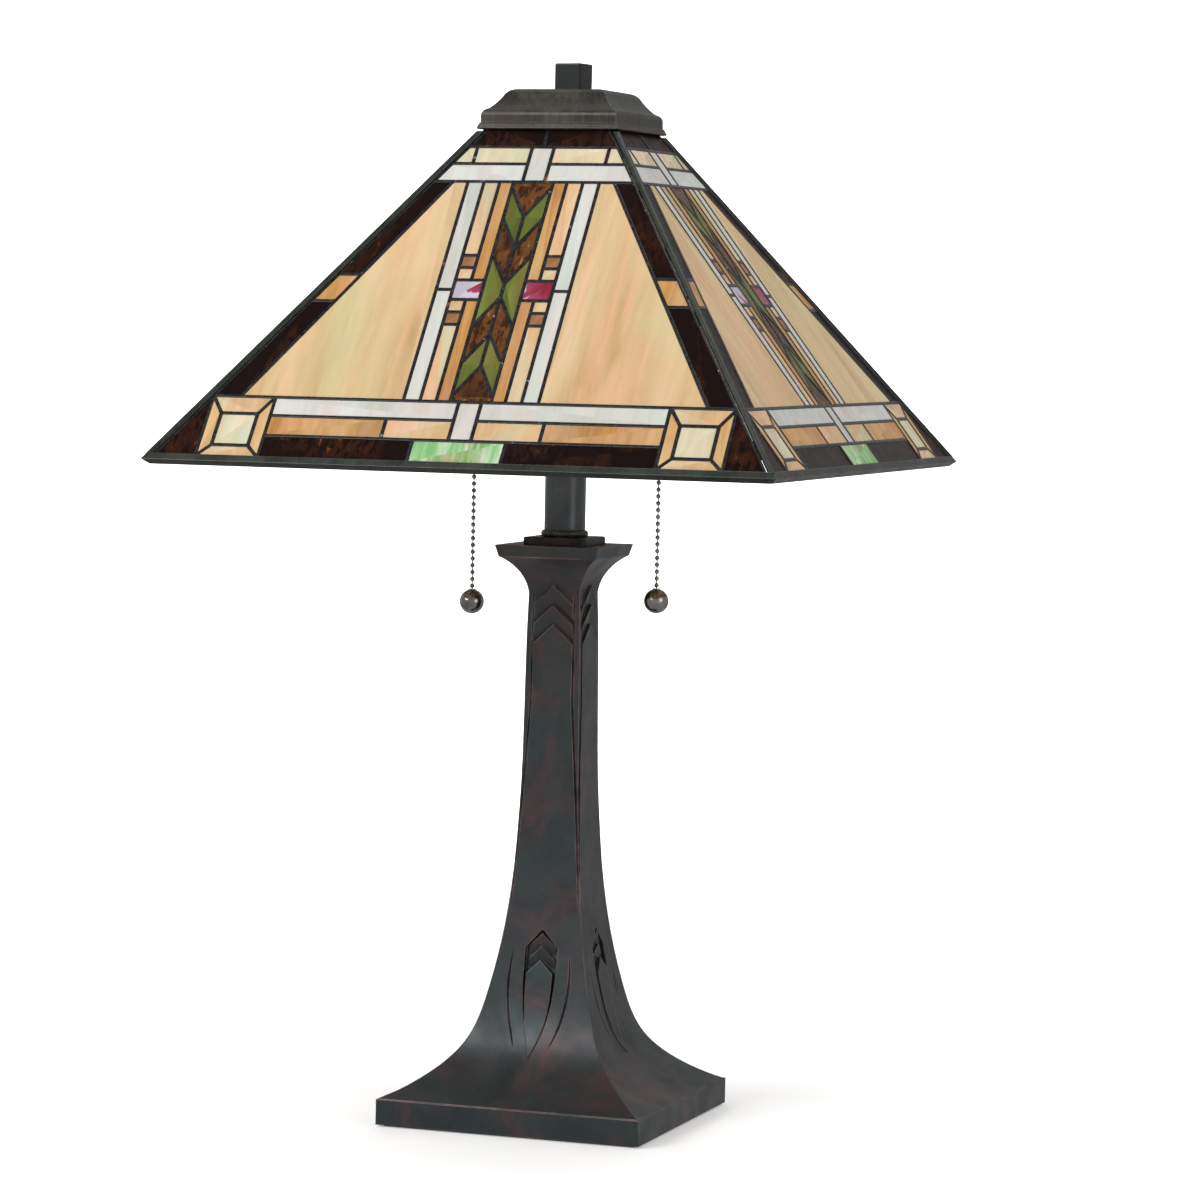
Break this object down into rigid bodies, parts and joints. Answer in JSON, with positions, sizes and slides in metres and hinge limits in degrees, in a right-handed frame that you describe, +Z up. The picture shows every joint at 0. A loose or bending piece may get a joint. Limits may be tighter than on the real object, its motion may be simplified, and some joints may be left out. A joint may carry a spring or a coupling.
{
  "type": "table lamp",
  "caption": "Table lamp: flared square cast column, square pyramid shade of leaded art glass in a chevron pattern, pull-chain sockets, vase cap and square finial.",
  "frame": {"origin": "middle of the flat rest face under the base", "axes": "+Z up, -Y the front that the two sockets lie across, +X the right socket"},
  "size_m": [0.4074, 0.4074, 0.6752],
  "materials": {
    "bronze": "aged bronze, satin",
    "cap_bronze": "patinated, brushed",
    "lead": "dark solder, satin",
    "came": "patinated, satin",
    "dark_nickel": "polished dark nickel",
    "brass": "satin",
    "steel": "zinc plated",
    "iron": "rough cast",
    "felt": "felt",
    "black_plastic": "matte",
    "phenolic": "moulded",
    "fibre": "fibre",
    "bulb_glass": "frosted",
    "glass_amber": "opalescent",
    "glass_brown_ripple": "ripple",
    "glass_copper": "opalescent",
    "glass_cream": "opalescent",
    "glass_dark_brown": "ripple",
    "glass_green_opal": "opalescent",
    "glass_honey": "opalescent",
    "glass_leaf_green": "opalescent",
    "glass_pale": "opalescent",
    "glass_tan": "opalescent",
    "glass_violet": "opalescent",
    "glass_white": "opalescent"
  },
  "bodies": {
    "lamp": {"base_nut": "steel", "base_washer": "steel", "base_weight": "iron", "capital_plate": "bronze", "centre_pipe": "steel", "chain_guide_left": "dark_nickel", "chain_guide_right": "dark_nickel", "cluster_hub": "bronze", "column_casting": "bronze", "cord_bushing": "black_plastic", "felt_pad": "felt", "foot_slab": "bronze", "plinth_block": "bronze", "screw_shells": "brass", "seat_nut": "steel", "shade_seat": "brass", "socket_arms": "steel", "socket_cap_left": "brass", "socket_cap_right": "brass", "socket_shell_left": "brass", "socket_shell_right": "brass", "stem_ring": "bronze", "stem_tube": "bronze", "switch_block_left": "phenolic", "switch_block_right": "phenolic", "upper_rod": "steel"},
    "swivel": {"friction_washer": "fibre"},
    "shade": {"glass_amber": "glass_amber", "glass_brown_ripple": "glass_brown_ripple", "glass_copper": "glass_copper", "glass_cream": "glass_cream", "glass_dark_brown": "glass_dark_brown", "glass_green_opal": "glass_green_opal", "glass_honey": "glass_honey", "glass_leaf_green": "glass_leaf_green", "glass_pale": "glass_pale", "glass_tan": "glass_tan", "glass_violet": "glass_violet", "glass_white": "glass_white", "lead_lattice_back": "lead", "lead_lattice_front": "lead", "lead_lattice_left": "lead", "lead_lattice_right": "lead", "rim_came": "came", "hip_cames": "came", "vase_cap": "cap_bronze"},
    "finial_thread": {"finial_insert": "brass"},
    "finial": {"finial": "bronze"},
    "bulb_left": {"bulb_base_left": "brass", "bulb_glass_left": "bulb_glass"},
    "switch_left": {"switch_drum_left": "brass"},
    "pull_left": {"pull_link_left": "dark_nickel"},
    "chain_left": {"pull_chain_left": "dark_nickel", "pull_ball_left": "dark_nickel"},
    "bulb_right": {"bulb_base_right": "brass", "bulb_glass_right": "bulb_glass"},
    "switch_right": {"switch_drum_right": "brass"},
    "pull_right": {"pull_link_right": "dark_nickel"},
    "chain_right": {"pull_chain_right": "dark_nickel", "pull_ball_right": "dark_nickel"}
  },
  "joints": [
    {"name": "shade_swivel", "type": "hinge", "parent": "lamp", "child": "swivel", "pos_m": [0, 0, 0.6545], "axis": [0, 0, 1], "continuous": true},
    {"name": "shade_lift", "type": "slide", "parent": "swivel", "child": "shade", "axis": [0, 0, 1], "range_m": [0, 0.28]},
    {"name": "finial_rise", "type": "slide", "parent": "shade", "child": "finial_thread", "axis": [0, 0, 1], "range_m": [0, 0.0094]},
    {"name": "finial_turn", "type": "hinge", "parent": "finial_thread", "child": "finial", "pos_m": [0, 0, 0.6579], "axis": [0, 0, 1], "range_deg": [0, 3600]},
    {"name": "bulb_left_unscrew", "type": "slide", "parent": "lamp", "child": "bulb_left", "axis": [-0.9962, 0, 0.0872], "range_m": [0, 0.016]},
    {"name": "pull_left_switch", "type": "slide", "parent": "lamp", "child": "pull_left", "axis": [0, 0, -1], "range_m": [0, 0.01], "stiffness_N_per_m": 600, "springref_m": -0.005},
    {"name": "switch_left_turn", "type": "hinge", "parent": "lamp", "child": "switch_left", "pos_m": [-0.0579, 0, 0.45507], "axis": [0, -1, 0], "range_deg": [0, 120]},
    {"name": "chain_left_swing", "type": "hinge", "parent": "pull_left", "child": "chain_left", "pos_m": [-0.0628, 0, 0.4208], "axis": [0, 1, 0], "range_deg": [-15, 15]},
    {"name": "bulb_right_unscrew", "type": "slide", "parent": "lamp", "child": "bulb_right", "axis": [0.9962, 0, 0.0872], "range_m": [0, 0.016]},
    {"name": "pull_right_switch", "type": "slide", "parent": "lamp", "child": "pull_right", "axis": [0, 0, -1], "range_m": [0, 0.01], "stiffness_N_per_m": 600, "springref_m": -0.005},
    {"name": "switch_right_turn", "type": "hinge", "parent": "lamp", "child": "switch_right", "pos_m": [0.0579, 0, 0.45507], "axis": [0, 1, 0], "range_deg": [0, 120]},
    {"name": "chain_right_swing", "type": "hinge", "parent": "pull_right", "child": "chain_right", "pos_m": [0.0628, 0, 0.4208], "axis": [0, 1, 0], "range_deg": [-15, 15]}
  ],
  "couplings": [
    {"joint": "finial_turn", "follows": "finial_rise", "rad_per_m": 6679},
    {"joint": "switch_left_turn", "follows": "pull_left_switch", "rad_per_m": 204.08},
    {"joint": "switch_right_turn", "follows": "pull_right_switch", "rad_per_m": 204.08}
  ]
}
